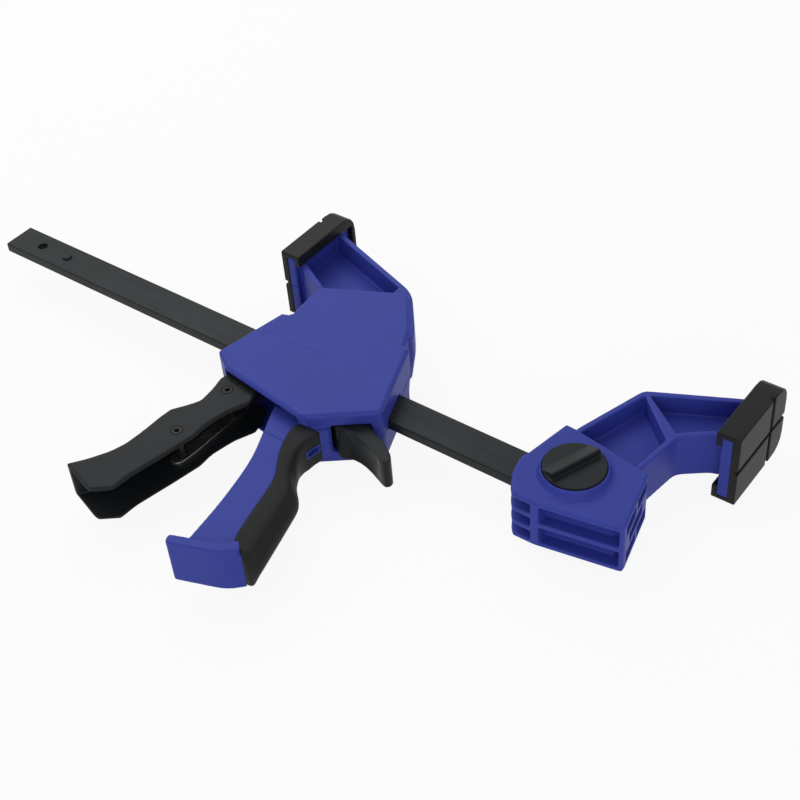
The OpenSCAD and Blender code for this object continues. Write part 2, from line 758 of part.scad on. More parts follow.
module lever_pivot_pin() {
    length = 2 * (pin_end - press_fit);
    color("silver") translate([housing_x + pivot_at.x, pivot_at.y, -length / 2])
        cylinder(h = length, d = pivot_d);
}

// Squeeze lever. Its outlines are shares of the lever's length, measured from its pivot.
lever_left_shares = [
    [-0.1055, -0.335, 0], [-0.1225, -0.4005, 1], [-0.1105, -0.4475, 1], [-0.1045, -0.514, 2],
    [-0.1215, -0.547, 1.5], [-0.159, -0.6015, 2], [-0.1635, -0.648, 1.5], [-0.1645, -0.7255, 3],
    [-0.1705, -0.7955, 3], [-0.187, -0.848, 3], [-0.2245, -0.913, 3], [-0.2645, -0.9655, 0.3]
];
lever_right_shares = [
    [-0.1175, -1.0115, 1], [-0.0575, -0.9645, 1], [-0.0545, -0.8995, 2.5], [-0.0235, -0.759, 3],
    [-0.0025, -0.6545, 2], [-0.0065, -0.5985, 2], [0.0125, -0.5095, 3], [0.0465, -0.4355, 1],
    [0.0295, -0.385, 1], [0.0025, -0.335, 0]
];
lever_round = 4;
lever_size = [lever_l, lever_l];
lever_corners = corners_of(concat(lever_left_shares, lever_right_shares), lever_size, lever_round);
lever_edge = 1.2;
channel_wall_share = 0.0185;
lever_channel = concat(
    [for (s = lever_left_shares) [(s[0] + channel_wall_share) * lever_l, s[1] * lever_l, 0]],
    [[0.2 * lever_l, -1.1 * lever_l, 0], [0.2 * lever_l, -0.2 * lever_l, 0]]
);
rivet_shares = [[-0.0592, -0.4325], [-0.0675, -0.6665]];
rivet_r = 3;
rivet_shank_r = 1.8;
rivet_hole_r = 1.15;
rivet_head_h = 0.8;
rivet_hole_depth = 2;
cheek_t = 2;
cheek_low = lever_t / 2 - lever_wall - cheek_t;

module at_pivot() {
    translate([housing_x + pivot_at.x, pivot_at.y, 0]) children();
}

module squeeze_lever() {
    color("black")
    at_pivot() difference() {
        chamfered(lever_corners, -lever_t / 2, lever_t / 2, lever_edge, lever_edge);
        plate(extended(lever_channel), -lever_t / 2 + lever_wall, lever_t / 2 - lever_wall);
        for (s = rivet_shares) translate([s[0] * lever_l, s[1] * lever_l, -lever_t]) {
            cylinder(h = 2 * lever_t, r = rivet_shank_r + press_fit);
            cylinder(h = lever_t / 2 + rivet_head_h, r = rivet_r + press_fit);
            translate([0, 0, 3 * lever_t / 2 - rivet_head_h])
                cylinder(h = lever_t, r = rivet_r + press_fit);
        }
    }
}
// The channel runs out past both ends of the lever
function extended(points) = [
    for (i = [0 : len(points) - 1])
        i == 0 ? points[i] + [0, lever_l / 8, 0] :
        i == len(points) - 3 ? points[i] + [-lever_l / 40, -lever_l / 20, 0] : points[i]
];

cheek_shares = [
    [-0.0436, 0, 3], [-0.078, -0.175, 3], [-0.095, -0.31, 3], [-0.092, -0.399, 2],
    [-0.086, -0.462, 1], [-0.083, -0.537, 1], [-0.104, -0.673, 1], [-0.098, -0.703, 1],
    [-0.055, -0.703, 1], [-0.045, -0.633, 2], [-0.045, -0.537, 2], [-0.040, -0.423, 1],
    [-0.044, -0.28, 2], [-0.025, -0.2245, 2], [-0.003, -0.162, 1], [0.0125, -0.105, 0.3],
    [0.0436, -0.02, 0.3]
];
nose_shares = [0.0125, -0.081];
nose_r = 3;

module cheek() {
    at_pivot() translate([0, 0, cheek_low]) difference() {
        union() {
            linear_extrude(cheek_t) polygon(outline(cheek_shares, lever_size, lever_round));
            cylinder(h = cheek_t, r = eye_r);
            translate([nose_shares[0] * lever_l, nose_shares[1] * lever_l, 0])
                cylinder(h = cheek_t, r = nose_r);
        }
        translate([0, 0, -overrun]) {
            cylinder(h = cheek_t + 2 * overrun, d = pivot_d + 2 * turn_fit);
            for (s = rivet_shares) translate([s[0] * lever_l, s[1] * lever_l, 0])
                cylinder(h = cheek_t + 2 * overrun, r = rivet_shank_r + press_fit);
        }
    }
}

module lever_cheek_top() {
    color("silver") cheek();
}

module lever_cheek_bottom() {
    color("silver") mirror([0, 0, 1]) cheek();
}

module lever_rivets() {
    color("dimgray")
    at_pivot() for (s = rivet_shares) translate([s[0] * lever_l, s[1] * lever_l, 0])
    difference() {
        union() {
            cylinder(h = lever_t, r = rivet_shank_r, center = true);
            for (side = [0, 1]) mirror([0, 0, side])
                translate([0, 0, lever_t / 2 - rivet_head_h]) cylinder(h = rivet_head_h, r = rivet_r);
        }
        for (side = [0, 1]) mirror([0, 0, side])
            translate([0, 0, lever_t / 2 - rivet_hole_depth]) cylinder(h = lever_t, r = rivet_hole_r);
    }
}

// Drive plate, pushed along the bar by the cheeks' noses
drive_x = pivot_at.x + nose_shares[0] * lever_l + nose_r + seat_fit;
drive_low = -16;
drive_high = 16.5;
drive_w = 20;
slot_gap_l = 1.2;
slot_gap_w = 0.8;
module drive_plate() {
    color("silver")
    translate([housing_x + drive_x, 0, 0])
        steel_plate(drive_low, drive_high, drive_w);
}

module steel_plate(low, high, width) {
    corner = width / 6;
    slot_l = bar_w + slot_gap_l;
    slot_w = bar_t + slot_gap_w;
    multmatrix([[0, 0, 1, 0], [0, 1, 0, 0], [1, 0, 0, 0], [0, 0, 0, 1]])
        linear_extrude(plate_steel_t) difference() {
            polygon([
                [-width / 2, low + corner], [-width / 2 + corner, low],
                [width / 2 - corner, low], [width / 2, low + corner],
                [width / 2, high - corner], [width / 2 - corner, high],
                [-width / 2 + corner, high], [-width / 2, high - corner]
            ]);
            square([slot_w, slot_l], center = true);
        }
}

spring_end = 0.64 * housing_l;
module drive_spring() {
    from = drive_x + plate_steel_t + press_fit;
    color("silver") translate([housing_x + from, 0, 0])
        coil(spring_end - from - press_fit, spring_r, wire_d, drive_turns);
}

// Release trigger and brake plate, which turn together on the trigger's pin
brake_low = 3.6;
brake_high = 0.356 * housing_w;
brake_w = 17;
socket_r = 5.2;
trigger_root = trigger_t / 2;
tusk_shares = [
    [0.02, -0.14, 0], [0.165, -0.235, 1], [0.29, -0.26, 1.5], [0.45, -0.225, 3], [0.77, -0.36, 4],
    [0.93, -0.48, 1], [1.0, -0.485, 1.2], [1.0, -0.42, 1], [0.865, -0.21, 3], [0.70, -0.07, 3],
    [0.335, 0.025, 1], [0.02, 0.11, 0]
];
tusk_l = 49;
tusk_round = 3;
tusk_corners = corners_of(tusk_shares, [tusk_l, tusk_l], tusk_round);
socket_wall = 2.4;
socket_h = 8;

module at_trigger() {
    translate([housing_x + trigger_at.x, trigger_at.y, 0]) children();
}

module release_trigger() {
    color("black")
    at_trigger() difference() {
        union() {
            cylinder(h = 2 * trigger_root, r = socket_r, center = true);
            // the curved tusk, which narrows to its tip
            intersection() {
                plate(tusk_corners, -trigger_root, trigger_root);
                tusk_wedge();
            }
            // the socket that holds the brake plate's foot
            rotate([0, 0, brake_tilt])
                translate([-plate_steel_t - socket_wall, 0, -trigger_root + loose_fit])
                    cube([plate_steel_t + 2 * socket_wall, socket_h, 2 * (trigger_root - loose_fit)]);
        }
        cylinder(h = 2 * housing_t, d = trigger_pin_d + 2 * turn_fit, center = true);
        rotate([0, 0, brake_tilt])
            translate([-plate_steel_t - press_fit, brake_low - press_fit, -brake_w / 2 - press_fit])
                cube([plate_steel_t + 2 * press_fit, brake_high, brake_w + 2 * press_fit]);
    }
}

module tusk_wedge() {
    tip = trigger_root / 3;
    profile = [
        [-tusk_l, -trigger_root], [0.3 * tusk_l, -trigger_root], [1.02 * tusk_l, -tip],
        [1.02 * tusk_l, tip], [0.3 * tusk_l, trigger_root], [-tusk_l, trigger_root]
    ];
    rotate([90, 0, 0]) linear_extrude(4 * tusk_l, center = true) polygon(profile);
}

module brake_plate() {
    color("silver")
    at_trigger() rotate([0, 0, brake_tilt]) {
        slot_y = -trigger_at.y / cos(brake_tilt);
        translate([-plate_steel_t, slot_y, 0])
            steel_plate(brake_low - slot_y, brake_high - slot_y, brake_w);
    }
}

module trigger_pin() {
    length = 2 * (pin_end - press_fit);
    color("silver") translate([housing_x + trigger_at.x, trigger_at.y, -length / 2])
        cylinder(h = length, d = trigger_pin_d);
}

brake_guide_x = brake_guide_share * housing_l;
spring_seat = 0.3;
module brake_spring() {
    from = trigger_at.x + (trigger_at.y + spring_r) * tan(brake_tilt) + spring_seat;
    color("silver") translate([housing_x + from, 0, 0])
        coil(brake_guide_x - from - press_fit, spring_r, wire_d, brake_turns);
}

bar();
bar_stop_pins();
fixed_jaw();
fixed_pad();
jaw_knob();
locking_pin();
pin_spring();
housing_top();
housing_bottom();
handle_grip_top();
handle_grip_bottom();
moving_pad();
housing_screws();
lever_pivot_pin();
squeeze_lever();
lever_cheek_top();
lever_cheek_bottom();
lever_rivets();
drive_plate();
drive_spring();
release_trigger();
brake_plate();
trigger_pin();
brake_spring();
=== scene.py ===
import json
import math

import bmesh
import bpy
from mathutils import Matrix, Vector


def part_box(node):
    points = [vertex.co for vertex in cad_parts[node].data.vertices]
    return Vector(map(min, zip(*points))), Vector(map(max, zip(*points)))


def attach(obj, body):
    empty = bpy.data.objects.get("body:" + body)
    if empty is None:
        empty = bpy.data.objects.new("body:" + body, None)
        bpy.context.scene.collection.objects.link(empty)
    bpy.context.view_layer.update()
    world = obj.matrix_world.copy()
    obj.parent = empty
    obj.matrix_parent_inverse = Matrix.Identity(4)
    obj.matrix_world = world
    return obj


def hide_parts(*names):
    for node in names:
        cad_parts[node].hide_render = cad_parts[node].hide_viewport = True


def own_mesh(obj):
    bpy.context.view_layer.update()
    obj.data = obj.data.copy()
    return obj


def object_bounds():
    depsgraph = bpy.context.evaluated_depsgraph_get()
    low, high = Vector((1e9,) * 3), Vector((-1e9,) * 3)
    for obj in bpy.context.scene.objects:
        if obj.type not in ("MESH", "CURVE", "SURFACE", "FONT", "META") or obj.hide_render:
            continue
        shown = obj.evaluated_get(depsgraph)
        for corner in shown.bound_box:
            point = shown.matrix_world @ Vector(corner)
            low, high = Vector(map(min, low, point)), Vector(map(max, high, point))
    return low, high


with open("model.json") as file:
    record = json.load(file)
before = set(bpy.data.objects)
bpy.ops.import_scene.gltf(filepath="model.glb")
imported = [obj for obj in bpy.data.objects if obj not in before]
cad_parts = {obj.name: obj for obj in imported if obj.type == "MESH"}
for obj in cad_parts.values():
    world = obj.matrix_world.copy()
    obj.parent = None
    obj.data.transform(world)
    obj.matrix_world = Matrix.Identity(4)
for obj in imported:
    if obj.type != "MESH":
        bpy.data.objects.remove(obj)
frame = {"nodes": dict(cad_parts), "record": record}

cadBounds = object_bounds()
mm = 0.001
record = frame["record"]
bodyOf = {node: body for body, nodes in record["behaviour"]["bodies"].items() for node in nodes}
slotOf = {row["node"]: row["material_slot"] for row in record["subparts"]}
print("frame loaded with", len(frame["nodes"]), "nodes")


# Finishes. Colours are linear and scales are per metre. A noise keeps near its middle, so only that
# reach of it is spread over the change of colour or gloss.
noiseLook = {"driftReach": (0.35, 0.65), "driftDetail": 3, "grainReach": (0.3, 0.7), "grainLift": 1.7}


def addNode(tree, kind, **inputs):
    node = tree.nodes.new(kind)
    for name, value in inputs.items():
        node.inputs[name].default_value = value
    return node


def spreadNoise(tree, source, reach, low, high):
    spread = addNode(tree, "ShaderNodeMapRange", **{
        "From Min": reach[0], "From Max": reach[1], "To Min": low, "To Max": high})
    tree.links.new(source, spread.inputs["Value"])
    return spread.outputs["Result"]


# Base colour: a slow drift between two shades, with the grain's specks multiplied in
def makeColour(tree, look, drift, grain):
    tint = tree.nodes.new("ShaderNodeMix")
    tint.data_type = "RGBA"
    tint.inputs["A"].default_value = (*look["shade"], 1)
    tint.inputs["B"].default_value = (*look["face"], 1)
    tree.links.new(drift, tint.inputs["Factor"])
    grey = addNode(tree, "ShaderNodeHueSaturation", Saturation=0.0, Value=noiseLook["grainLift"])
    tree.links.new(grain, grey.inputs["Color"])
    speck = tree.nodes.new("ShaderNodeMix")
    speck.data_type = "RGBA"
    speck.blend_type = "MULTIPLY"
    speck.inputs["Factor"].default_value = look["speckle"]
    tree.links.new(tint.outputs["Result"], speck.inputs["A"])
    tree.links.new(grey.outputs["Color"], speck.inputs["B"])
    return speck.outputs["Result"]


def makeFinish(name, look):
    material = bpy.data.materials.new(name)
    material.use_nodes = True
    tree = material.node_tree
    shader = tree.nodes["Principled BSDF"]
    shader.inputs["Metallic"].default_value = look.get("metal", 0)
    shader.inputs["Specular IOR Level"].default_value = look.get("specular", 0.5)

    coords = tree.nodes.new("ShaderNodeTexCoord")
    drift = addNode(tree, "ShaderNodeTexNoise", Scale=look["driftScale"], Detail=noiseLook["driftDetail"])
    tree.links.new(coords.outputs["Object"], drift.inputs["Vector"])
    place = addNode(tree, "ShaderNodeMapping", Scale=look.get("stretch", (1, 1, 1)))
    tree.links.new(coords.outputs["Object"], place.inputs["Vector"])
    grain = addNode(tree, "ShaderNodeTexNoise", Scale=look["grainScale"], Detail=look.get("grainDetail", 4))
    tree.links.new(place.outputs["Vector"], grain.inputs["Vector"])

    slow = spreadNoise(tree, drift.outputs["Fac"], noiseLook["driftReach"], 0.0, 1.0)
    tree.links.new(makeColour(tree, look, slow, grain.outputs["Color"]), shader.inputs["Base Color"])
    smoothest = look["roughness"] - look["roughSwing"]
    roughest = look["roughness"] + look["roughSwing"]
    rough = spreadNoise(tree, grain.outputs["Fac"], noiseLook["grainReach"], smoothest, roughest)
    tree.links.new(rough, shader.inputs["Roughness"])
    bump = addNode(tree, "ShaderNodeBump", Strength=look["bump"], Distance=look["bumpDepth"])
    tree.links.new(grain.outputs["Fac"], bump.inputs["Height"])
    tree.links.new(bump.outputs["Normal"], shader.inputs["Normal"])
    return material


bluePlastic = makeFinish("bluePlastic", {
    "face": (0.041, 0.058, 0.355), "shade": (0.037, 0.053, 0.332), "specular": 0.14,
    "roughness": 0.46, "roughSwing": 0.05, "driftScale": 22, "grainScale": 2600, "speckle": 0.10,
    "bump": 0.22, "bumpDepth": 0.04 * mm})
blackPlastic = makeFinish("blackPlastic", {
    "face": (0.0132, 0.0153, 0.0171), "shade": (0.0112, 0.0130, 0.0144), "specular": 0.12,
    "roughness": 0.42, "roughSwing": 0.06, "driftScale": 30, "grainScale": 2400, "speckle": 0.15,
    "bump": 0.22, "bumpDepth": 0.04 * mm})
gripRubber = makeFinish("gripRubber", {
    "face": (0.0145, 0.0150, 0.0155), "shade": (0.0115, 0.0120, 0.0125), "specular": 0.12,
    "roughness": 0.55, "roughSwing": 0.07, "driftScale": 35, "grainScale": 1900, "speckle": 0.2,
    "bump": 0.3, "bumpDepth": 0.05 * mm})
padRubber = makeFinish("padRubber", {
    "face": (0.0125, 0.0129, 0.0133), "shade": (0.0101, 0.0105, 0.0108), "specular": 0.13,
    "roughness": 0.46, "roughSwing": 0.07, "driftScale": 45, "grainScale": 1500, "speckle": 0.2,
    "bump": 0.25, "bumpDepth": 0.05 * mm})
barSteel = makeFinish("barSteel", {
    "face": (0.019, 0.0228, 0.024), "shade": (0.0125, 0.0146, 0.0158), "specular": 0.13, "metal": 0.2,
    "roughness": 0.42, "roughSwing": 0.12, "driftScale": 12, "grainScale": 1500, "grainDetail": 6,
    "stretch": (0.02, 1, 1), "speckle": 0.55, "bump": 0.25, "bumpDepth": 0.03 * mm})
brightSteel = makeFinish("brightSteel", {
    "face": (0.50, 0.50, 0.48), "shade": (0.40, 0.40, 0.39), "metal": 1.0,
    "roughness": 0.34, "roughSwing": 0.08, "driftScale": 60, "grainScale": 1800, "speckle": 0.2,
    "bump": 0.15, "bumpDepth": 0.02 * mm})
springSteel = makeFinish("springSteel", {
    "face": (0.36, 0.36, 0.35), "shade": (0.28, 0.28, 0.27), "metal": 1.0,
    "roughness": 0.3, "roughSwing": 0.06, "driftScale": 60, "grainScale": 2200, "speckle": 0.2,
    "bump": 0.1, "bumpDepth": 0.02 * mm})
darkSteel = makeFinish("darkSteel", {
    "face": (0.024, 0.025, 0.026), "shade": (0.017, 0.018, 0.019), "specular": 0.2, "metal": 0.5,
    "roughness": 0.38, "roughSwing": 0.08, "driftScale": 60, "grainScale": 2200, "speckle": 0.2,
    "bump": 0.15, "bumpDepth": 0.02 * mm})
finishes = {
    "bar_steel": barSteel, "blue_plastic": bluePlastic, "black_plastic": blackPlastic,
    "grip_rubber": gripRubber, "pad_rubber": padRubber, "bright_steel": brightSteel,
    "spring_steel": springSteel, "dark_screws": darkSteel}
print("finishes made:", len(finishes))


def linkObject(name, data):
    piece = bpy.data.objects.new(name, data)
    bpy.context.scene.collection.objects.link(piece)
    return piece


def linkBuild(name, build):
    mesh = bpy.data.meshes.new(name)
    build.to_mesh(mesh)
    build.free()
    return linkObject(name, mesh)


def bakeModifiers(piece):
    seen = piece.evaluated_get(bpy.context.evaluated_depsgraph_get())
    mesh = bpy.data.meshes.new_from_object(seen)
    piece.modifiers.clear()
    piece.data = mesh
    return piece


def shadeSmooth(piece, sharpFrom):
    piece.data.shade_smooth()
    piece.data.set_sharp_from_angle(angle=math.radians(sharpFrom))


def dress(piece, node):
    piece.data.materials.clear()
    piece.data.materials.append(finishes[slotOf[node]])
    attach(piece, bodyOf[node])
    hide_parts(node)


weldWithin = 0.002 * mm  # corners of a node's mesh that lie closer than this are one corner


def weldedBuild(node):
    build = bmesh.new()
    build.from_mesh(frame["nodes"][node].data)
    bmesh.ops.remove_doubles(build, verts=build.verts, dist=weldWithin)
    return build


# A crisp piece has its flat facets joined, and a narrow round along every edge. Angles are in degrees.
crispLook = {"flatTo": 0.6, "edgeFrom": 30, "sharpFrom": 40, "segments": 2}
crispRounds = {
    "bar": 0.15 * mm, "bar_stop_pins": 0.2 * mm, "locking_pin": 0.15 * mm,
    "lever_pivot_pin": 0.3 * mm, "trigger_pin": 0.3 * mm,
    "lever_cheek_top": 0.2 * mm, "lever_cheek_bottom": 0.2 * mm,
    "drive_plate": 0.2 * mm, "brake_plate": 0.2 * mm}


def crispPiece(node, radius):
    build = weldedBuild(node)
    bmesh.ops.dissolve_limit(build, angle_limit=math.radians(crispLook["flatTo"]),
                             verts=build.verts, edges=build.edges)
    piece = linkBuild(node + "_form", build)
    soft = piece.modifiers.new("roundEdges", "BEVEL")
    soft.width = radius
    soft.segments = crispLook["segments"]
    soft.limit_method = "ANGLE"
    soft.angle_limit = math.radians(crispLook["edgeFrom"])
    soft.use_clamp_overlap = False
    soft.miter_outer = "MITER_ARC"
    bakeModifiers(piece)
    shadeSmooth(piece, crispLook["sharpFrom"])
    even = piece.modifiers.new("evenNormals", "WEIGHTED_NORMAL")
    even.keep_sharp = True
    bakeModifiers(piece)
    dress(piece, node)


for node, radius in crispRounds.items():
    crispPiece(node, radius)
print("crisp pieces made:", len(crispRounds))


# Shapes on the moving jaw are given in millimetres from the housing's rear corner on the bar's line
housingX = 169.5


def toHousing(spot):
    return spot.x / mm - housingX, spot.y / mm, spot.z / mm


def fromHousing(place):
    return Vector(((place[0] + housingX) * mm, place[1] * mm, place[2] * mm))


# From 0 to 1 as the distance goes from 0 to the length
def ramp(distance, length):
    return min(max(distance / length, 0), 1)


# The value that a table gives at a place. Its rows go from the highest place to the lowest.
def readTable(table, place):
    if place >= table[0][0]:
        return table[0][1]
    for (start, first), (end, last) in zip(table, table[1:]):
        if place >= end:
            return first + (last - first) * (start - place) / (start - end)
    return table[-1][1]


# The mean over a reach on both sides, which rounds the table's corners
def evenTable(table, place, reach, steps=3):
    spots = [place + reach * k / steps for k in range(-steps, steps + 1)]
    return sum(readTable(table, spot) for spot in spots) / len(spots)


# Corner cutting: turns a few corners into a smooth line that keeps its ends. Each round cuts every
# stretch at a share of its length from both of its ends.
def cutCorners(points, rounds, share=0.25):
    rest = 1 - share
    for _ in range(rounds):
        line = [points[0]]
        for a, b in zip(points, points[1:]):
            line.append((a[0] * rest + b[0] * share, a[1] * rest + b[1] * share))
            line.append((a[0] * share + b[0] * rest, a[1] * share + b[1] * rest))
        points = line + [points[-1]]
    return points


# Skin over a row of rings: closed by a flat face at each end, or by running on into the first ring
def skinRings(build, rings, endless=False):
    following = rings[1:] + rings[:1] if endless else rings[1:]
    for ring, other in zip(rings, following):
        for k in range(len(ring)):
            after = (k + 1) % len(ring)
            build.faces.new((ring[k], ring[after], other[after], other[k]))
    if not endless:
        build.faces.new(rings[0])
        build.faces.new(rings[-1])
    bmesh.ops.recalc_face_normals(build, faces=build.faces)


# Grip: its left edge on top of the handle, its right side and its half thickness go by y. Its section
# is in shares of its width and half thickness, square at the neck and rolled at the palm.
gripLook = {
    "left": [(-41.0, 70.0), (-42.7, 68.6), (-44.4, 67.7), (-48.5, 67.9), (-53.1, 69.0), (-58.0, 70.9),
             (-63.2, 73.3), (-71.3, 78.8), (-77.2, 82.5), (-83.9, 84.7), (-102.0, 88.7), (-117.0, 92.3),
             (-119.5, 93.6), (-121.0, 95.2), (-122.9, 97.6), (-124.5, 100.6), (-126.0, 103.2),
             (-127.2, 105.0)],
    "right": [(-41.0, 81.3), (-42.5, 81.3), (-45.0, 80.4), (-48.5, 80.0), (-53.5, 79.8), (-58.0, 81.0),
              (-60.0, 82.0), (-64.0, 84.8), (-71.0, 89.6), (-74.0, 92.6), (-77.0, 96.0), (-79.5, 98.2),
              (-82.0, 99.5), (-86.0, 100.7), (-104.0, 105.6), (-118.0, 109.3), (-121.0, 109.8),
              (-123.5, 109.6), (-125.5, 108.6), (-127.2, 106.2)],
    "height": [(-41.0, 9.5), (-41.8, 10.2), (-43.0, 10.5), (-117.0, 10.5), (-120.0, 11.0), (-123.0, 12.2),
               (-125.0, 12.0), (-126.4, 10.6), (-127.2, 8.6)],
    "round": [(0.0, 0.0), (0.0, 0.86), (0.0, 0.97), (0.04, 1.0), (0.14, 1.0), (0.46, 0.97), (0.63, 0.92),
              (0.70, 0.86), (0.80, 0.66), (0.97, 0.26), (1.0, 0.0)],
    "square": [(0.0, 0.0), (0.0, 0.86), (0.0, 0.97), (0.04, 1.0), (0.14, 1.0), (0.5, 1.0), (0.82, 0.995),
               (0.95, 0.975), (1.0, 0.9), (1.0, 0.7), (1.0, 0.0)],
    "squareness": [(-51.0, 1.0), (-68.0, 0.0)],
    "edgeReach": 1.6, "heightReach": 0.6, "sectionRounds": 3, "stations": 150, "sharpFrom": 38}
slotLook = {"x": (76.0, 90.0), "y": (-51.3, -41.9), "half": 2.4}  # slot in the neck of the grip
roundSection = cutCorners(gripLook["round"], gripLook["sectionRounds"])
squareSection = cutCorners(gripLook["square"], gripLook["sectionRounds"])


def gripRight(y):
    return evenTable(gripLook["right"], y, gripLook["edgeReach"])


def gripEdges(y):
    left = evenTable(gripLook["left"], y, gripLook["edgeReach"])
    return left, gripRight(y), evenTable(gripLook["height"], y, gripLook["heightReach"])


def gripSection(y):
    square = readTable(gripLook["squareness"], y)
    return [(a[0] + (b[0] - a[0]) * square, a[1] + (b[1] - a[1]) * square)
            for a, b in zip(roundSection, squareSection)]


# Height of the grip's skin above the bar's middle plane, or None to the left of the grip
def gripSkin(x, y):
    left, right, height = gripEdges(y)
    share = (x - left) / (right - left)
    if share <= 0:
        return None
    if share >= 1:
        return 0.0
    section = gripSection(y)
    for (u0, f0), (u1, f1) in zip(section, section[1:]):
        if u0 <= share <= u1 and u1 > u0:
            return height * (f0 + (f1 - f0) * (share - u0) / (u1 - u0))
    return height


# The block that the slot is cut with: it reaches well into the grip and out of its right side
def slotBlock():
    build = bmesh.new()
    bmesh.ops.create_cube(build, size=1)
    for vert in build.verts:
        x, y, z = vert.co
        vert.co = fromHousing((slotLook["x"][x > 0], slotLook["y"][y > 0],
                               math.copysign(slotLook["half"], z)))
    return linkBuild("slotCutter", build)


def loftGrip(node, side):
    top, bottom = gripLook["left"][0][0], gripLook["left"][-1][0]
    build = bmesh.new()
    rings = []
    for k in range(gripLook["stations"] + 1):
        y = top + (bottom - top) * k / gripLook["stations"]
        left, right, height = gripEdges(y)
        rings.append([build.verts.new(fromHousing((left + u * (right - left), y, side * height * f)))
                      for u, f in gripSection(y)])
    skinRings(build, rings)
    piece = linkBuild(node + "_loft", build)
    cutter = slotBlock()
    cut = piece.modifiers.new("neckSlot", "BOOLEAN")
    cut.operation = "DIFFERENCE"
    cut.solver = "EXACT"
    cut.object = cutter
    bakeModifiers(piece)
    bpy.data.objects.remove(cutter)
    shadeSmooth(piece, gripLook["sharpFrom"])
    dress(piece, node)


# Blue rim that lines the slot
rimLook = {"wall": 0.75, "depth": 3.2, "proud": 0.25, "corner": 0.6, "round": 0.25, "roll": 0.2}


def rimRing(build, inset, depth):
    corner = rimLook["corner"]
    low, high = slotLook["y"][0] + inset, slotLook["y"][1] - inset
    side = slotLook["half"] - inset
    spots = [(low + corner, -side), (high - corner, -side), (high, -side + corner), (high, side - corner),
             (high - corner, side), (low + corner, side), (low, side - corner), (low, -side + corner)]
    return [build.verts.new(fromHousing((gripRight(y) + rimLook["proud"] - depth, y, z))) for y, z in spots]


def lineSlot():
    wall, depth, bend, roll = rimLook["wall"], rimLook["depth"], rimLook["round"], rimLook["roll"]
    build = bmesh.new()
    rings = [rimRing(build, inset, deep) for inset, deep in (
        (0.0, depth), (0.0, bend), (roll, 0.0), (wall - roll, 0.0), (wall, bend), (wall, depth))]
    skinRings(build, rings, endless=True)
    rim = linkBuild("neck_slot_rim", build)
    rim.data.materials.append(finishes["blue_plastic"])
    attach(rim, "moving_jaw")


# Housing: the handle's halves meet without a groove, its plastic is tucked under the grip, and the
# arm's outer wall leans in below the bar's middle plane
handleLook = {"seamBelow": -60.0, "seamReach": 1.6, "seamClose": 1.0, "tuckBelow": -41.5, "lipBelow": -121.5,
              "lipGripX": 103.0, "edgeShift": 0.3, "tuckDepth": 0.5, "tuckSide": 0.6}
armLook = {"from": (63.6, 63.4), "to": (88.0, 30.8), "lean": 2.5, "depth": 15.0, "reach": 10.0,
           "reachRamp": 6.0, "low": 24.0, "lowRamp": 6.0, "high": 72.0, "highRamp": 8.0}


def shapeHandle(x, y, z, side):
    if y < handleLook["seamBelow"] and z * side < handleLook["seamReach"]:
        z -= side * handleLook["seamClose"] * (1 - z * side / handleLook["seamReach"])
    onHandle = handleLook["lipBelow"] < y < handleLook["tuckBelow"]
    if onHandle or (y <= handleLook["lipBelow"] and x > handleLook["lipGripX"]):
        skin = gripSkin(x - handleLook["edgeShift"], y)
        if skin is not None:
            z = math.copysign(min(abs(z), max(skin - handleLook["tuckDepth"], 0)), z)
            x = min(x, gripRight(y) - handleLook["tuckSide"])
    return x, y, z


def leanArm(x, y, z):
    start = Vector(armLook["from"])
    run = Vector(armLook["to"]) - start
    outward = Vector((-run.y, run.x)).normalized()
    beyond = (Vector((x, y)) - start).dot(outward)
    share = ramp(beyond + armLook["reach"], armLook["reachRamp"]) * min(-z / armLook["depth"], 1)
    share *= ramp(armLook["high"] - y, armLook["highRamp"]) * ramp(y - armLook["low"], armLook["lowRamp"])
    return x - outward.x * armLook["lean"] * share, y - outward.y * armLook["lean"] * share, z


def shapeHousing(x, y, z, side):
    x, y, z = shapeHandle(x, y, z, side)
    if z < 0 and armLook["low"] < y < armLook["high"]:
        return leanArm(x, y, z)
    return x, y, z


# Trigger: a tall hook, hollowed between the two ridges of its finger side, on the root of the solid
triggerLook = {
    "lower": [(84.0, -32.0), (86.4, -34.2), (88.8, -36.0), (91.2, -35.3), (93.4, -34.2), (96.9, -33.3),
              (103.0, -34.0), (108.6, -35.8), (114.3, -38.0), (118.2, -39.6)],
    "upper": [(81.0, -30.6), (83.2, -32.2), (86.0, -32.4), (90.0, -31.4), (94.0, -31.6), (98.2, -32.5),
              (105.9, -34.2), (111.0, -36.3), (115.4, -38.4), (118.4, -39.8)],
    "back": [(120.9, -40.2), (122.9, -38.6), (122.8, -35.8), (119.6, -32.6), (112.2, -28.2), (105.4, -25.6),
             (96.8, -22.4), (88.0, -20.5), (84.0, -22.0)],
    "half": 9.0, "levels": 12, "cornerRounds": 2, "rootEnd": 86.0, "cutNear": 0.001,
    "hollow": 2.4, "hollowFrom": 88.0, "fromRamp": 5.0, "hollowTo": 118.0, "toRamp": 8.0}


def hookRing(build, share):
    z = triggerLook["half"] * (2 * share - 1)
    depth = triggerLook["hollow"] * (1 - (z / triggerLook["half"]) ** 2)
    finger = [(a[0] + (b[0] - a[0]) * share, a[1] + (b[1] - a[1]) * share)
              for a, b in zip(triggerLook["lower"], triggerLook["upper"])]
    back = cutCorners(triggerLook["back"], triggerLook["cornerRounds"])
    ring = []
    for x, y in cutCorners(finger, triggerLook["cornerRounds"]):
        fade = ramp(x - triggerLook["hollowFrom"], triggerLook["fromRamp"])
        fade *= ramp(triggerLook["hollowTo"] - x, triggerLook["toRamp"])
        ring.append(build.verts.new(fromHousing((x, y + depth * fade, z))))
    return ring + [build.verts.new(fromHousing((x, y, z))) for x, y in back]


